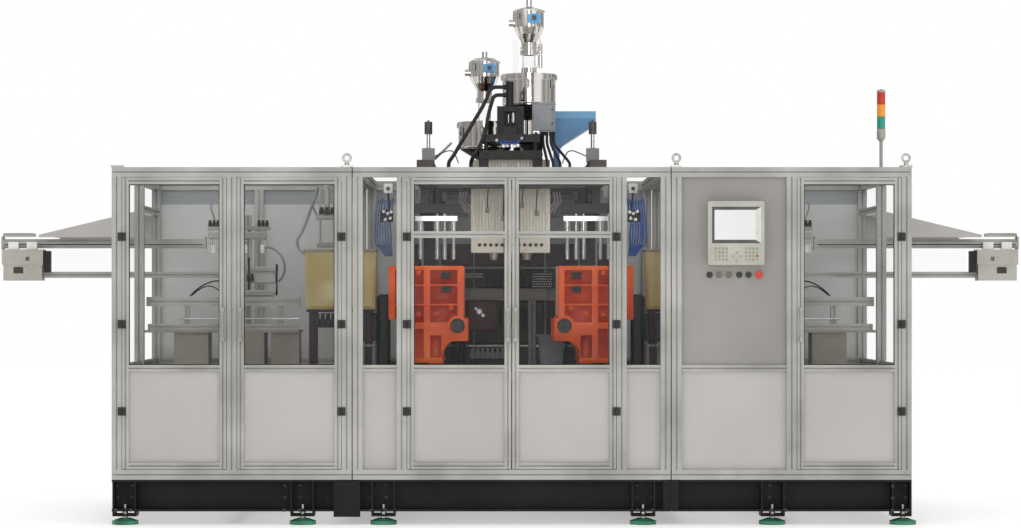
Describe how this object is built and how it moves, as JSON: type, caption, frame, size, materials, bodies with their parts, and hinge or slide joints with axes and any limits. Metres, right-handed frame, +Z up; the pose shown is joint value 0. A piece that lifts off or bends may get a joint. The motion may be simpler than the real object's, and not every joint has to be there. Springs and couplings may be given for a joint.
{
  "type": "blow moulding machine",
  "caption": "Shuttle extrusion blow moulding machine: guard cabinet with doors and operator panel, sliding clamps, blow pins, die head, hoppers with vacuum loaders and side transfer arms.",
  "frame": {"origin": "on the floor under the middle of the machine's overall box", "axes": "+X to the machine's right along its length, +Y to the rear, +Z up"},
  "size_m": [6.6, 2.2798, 3.282],
  "materials": {
    "base_paint": "satin black",
    "foot_green": "semi-gloss green",
    "anodised_frame": "anodised satin",
    "clear_guard": "clear polycarbonate",
    "panel_paint": "warm grey powder coat",
    "control_grey": "grey powder coat",
    "zinc_steel": "zinc plated",
    "hinge_black": "black die-cast",
    "lamp_lens": "translucent lenses",
    "hmi_cream": "moulded",
    "hmi_dark": "glass and membrane",
    "frame_dark": "dark grey paint",
    "ground_steel": "ground",
    "die_steel": "machined",
    "guard_beige": "ribbed sheet",
    "drive_black": "black oxide and paint",
    "stainless": "polished stainless steel",
    "control_blue": "moulded blue",
    "regrind_blue": "blue enamel",
    "box_grey": "grey powder coat",
    "hose_rubber": "matt black",
    "bench_beige": "beige powder coat",
    "drive_grey": "machined plate",
    "button_black": "moulded",
    "e_stop_red": "moulded",
    "platen_orange": "orange enamel",
    "mould_aluminium": "machined"
  },
  "bodies": {
    "machine": {"base_frames": "base_paint", "control_panel": "control_grey", "die_head": "die_steel", "extruder_drive": "drive_black", "eye_bolts": "zinc_steel", "fixed_panels": "panel_paint", "fixed_windows": "clear_guard", "frame_posts": "anodised_frame", "frame_rails": "anodised_frame", "guide_rails": "ground_steel", "head_guard": "guard_beige", "hmi_front": "hmi_dark", "hmi_housing": "hmi_cream", "hoses": "hose_rubber", "junction_box": "box_grey", "levelling_feet": "foot_green", "loader_controls": "control_blue", "machine_frame": "frame_dark", "material_hoppers": "stainless", "post_hinges": "hinge_black", "regrind_hopper": "regrind_blue", "screw_jacks": "box_grey", "side_benches": "bench_beige", "sight_tubes": "clear_guard", "signal_tower": "lamp_lens", "transfer_drives": "drive_grey", "vacuum_loaders": "stainless"},
    "left_outer_door": {"left_outer_door_frame": "anodised_frame", "left_outer_door_window": "clear_guard", "left_outer_door_hardware": "hinge_black"},
    "left_inner_door": {"left_inner_door_frame": "anodised_frame", "left_inner_door_window": "clear_guard", "left_inner_door_hardware": "hinge_black"},
    "centre_left_door": {"centre_left_door_frame": "anodised_frame", "centre_left_door_window": "clear_guard", "centre_left_door_hardware": "hinge_black"},
    "centre_right_door": {"centre_right_door_frame": "anodised_frame", "centre_right_door_window": "clear_guard", "centre_right_door_hardware": "hinge_black"},
    "right_door": {"right_door_frame": "anodised_frame", "right_door_window": "clear_guard", "right_door_hardware": "hinge_black"},
    "left_shuttle": {"left_carriage": "frame_dark"},
    "left_front_clamp": {"left_front_platen": "platen_orange", "left_front_mould": "mould_aluminium"},
    "left_rear_clamp": {"left_rear_platen": "platen_orange", "left_rear_mould": "mould_aluminium"},
    "left_blow_pins": {"left_blow_unit": "ground_steel"},
    "left_arm": {"left_transfer_arm": "anodised_frame"},
    "right_shuttle": {"right_carriage": "frame_dark"},
    "right_front_clamp": {"right_front_platen": "platen_orange", "right_front_mould": "mould_aluminium"},
    "right_rear_clamp": {"right_rear_platen": "platen_orange", "right_rear_mould": "mould_aluminium"},
    "right_blow_pins": {"right_blow_unit": "ground_steel"},
    "right_arm": {"right_transfer_arm": "anodised_frame"},
    "selector_operator": {"selector_switch": "button_black"},
    "start_operator": {"start_button": "button_black"},
    "stop_operator": {"stop_button": "button_black"},
    "e_stop_operator": {"e_stop_button": "e_stop_red"}
  },
  "joints": [
    {"name": "left_outer_door_hinge", "type": "hinge", "parent": "machine", "child": "left_outer_door", "pos_m": [-2.3385, -1.098, 1.203], "axis": [0, 0, -1], "range_deg": [0, 100]},
    {"name": "left_inner_door_hinge", "type": "hinge", "parent": "machine", "child": "left_inner_door", "pos_m": [-1.0215, -1.098, 1.203], "axis": [0, 0, 1], "range_deg": [0, 100]},
    {"name": "centre_left_door_hinge", "type": "hinge", "parent": "machine", "child": "centre_left_door", "pos_m": [-0.6285, -1.098, 1.203], "axis": [0, 0, -1], "range_deg": [0, 100]},
    {"name": "centre_right_door_hinge", "type": "hinge", "parent": "machine", "child": "centre_right_door", "pos_m": [0.6285, -1.098, 1.203], "axis": [0, 0, 1], "range_deg": [0, 100]},
    {"name": "right_door_hinge", "type": "hinge", "parent": "machine", "child": "right_door", "pos_m": [2.3385, -1.098, 1.203], "axis": [0, 0, 1], "range_deg": [0, 100]},
    {"name": "left_shuttle_slide", "type": "slide", "parent": "machine", "child": "left_shuttle", "axis": [1, 0, 0], "range_m": [0, 0.465]},
    {"name": "right_shuttle_slide", "type": "slide", "parent": "machine", "child": "right_shuttle", "axis": [1, 0, 0], "range_m": [-0.465, 0]},
    {"name": "left_rear_clamp_slide", "type": "slide", "parent": "left_shuttle", "child": "left_rear_clamp", "axis": [0, -1, 0], "range_m": [0, 0.1598]},
    {"name": "left_front_clamp_slide", "type": "slide", "parent": "left_shuttle", "child": "left_front_clamp", "axis": [0, 1, 0], "range_m": [0, 0.1598]},
    {"name": "left_blow_pins_slide", "type": "slide", "parent": "machine", "child": "left_blow_pins", "axis": [0, 0, -1], "range_m": [0, 0.1]},
    {"name": "left_arm_slide", "type": "slide", "parent": "machine", "child": "left_arm", "axis": [-1, 0, 0], "range_m": [0, 0.9]},
    {"name": "right_rear_clamp_slide", "type": "slide", "parent": "right_shuttle", "child": "right_rear_clamp", "axis": [0, -1, 0], "range_m": [0, 0.1598]},
    {"name": "right_front_clamp_slide", "type": "slide", "parent": "right_shuttle", "child": "right_front_clamp", "axis": [0, 1, 0], "range_m": [0, 0.1598]},
    {"name": "right_blow_pins_slide", "type": "slide", "parent": "machine", "child": "right_blow_pins", "axis": [0, 0, -1], "range_m": [0, 0.1]},
    {"name": "right_arm_slide", "type": "slide", "parent": "machine", "child": "right_arm", "axis": [1, 0, 0], "range_m": [0, 0.9]},
    {"name": "selector_turn", "type": "hinge", "parent": "machine", "child": "selector_operator", "pos_m": [1.189, -1.07, 1.5], "axis": [0, 1, 0], "range_deg": [-45, 45]},
    {"name": "start_push", "type": "slide", "parent": "machine", "child": "start_operator", "axis": [0, 1, 0], "range_m": [0, 0.004], "stiffness_N_per_m": 500},
    {"name": "stop_push", "type": "slide", "parent": "machine", "child": "stop_operator", "axis": [0, 1, 0], "range_m": [0, 0.004], "stiffness_N_per_m": 500},
    {"name": "e_stop_push", "type": "slide", "parent": "machine", "child": "e_stop_operator", "axis": [0, 1, 0], "range_m": [0, 0.005]}
  ],
  "couplings": [
    {"joint": "left_front_clamp_slide", "follows": "left_rear_clamp_slide", "ratio": 1},
    {"joint": "right_front_clamp_slide", "follows": "right_rear_clamp_slide", "ratio": 1}
  ]
}
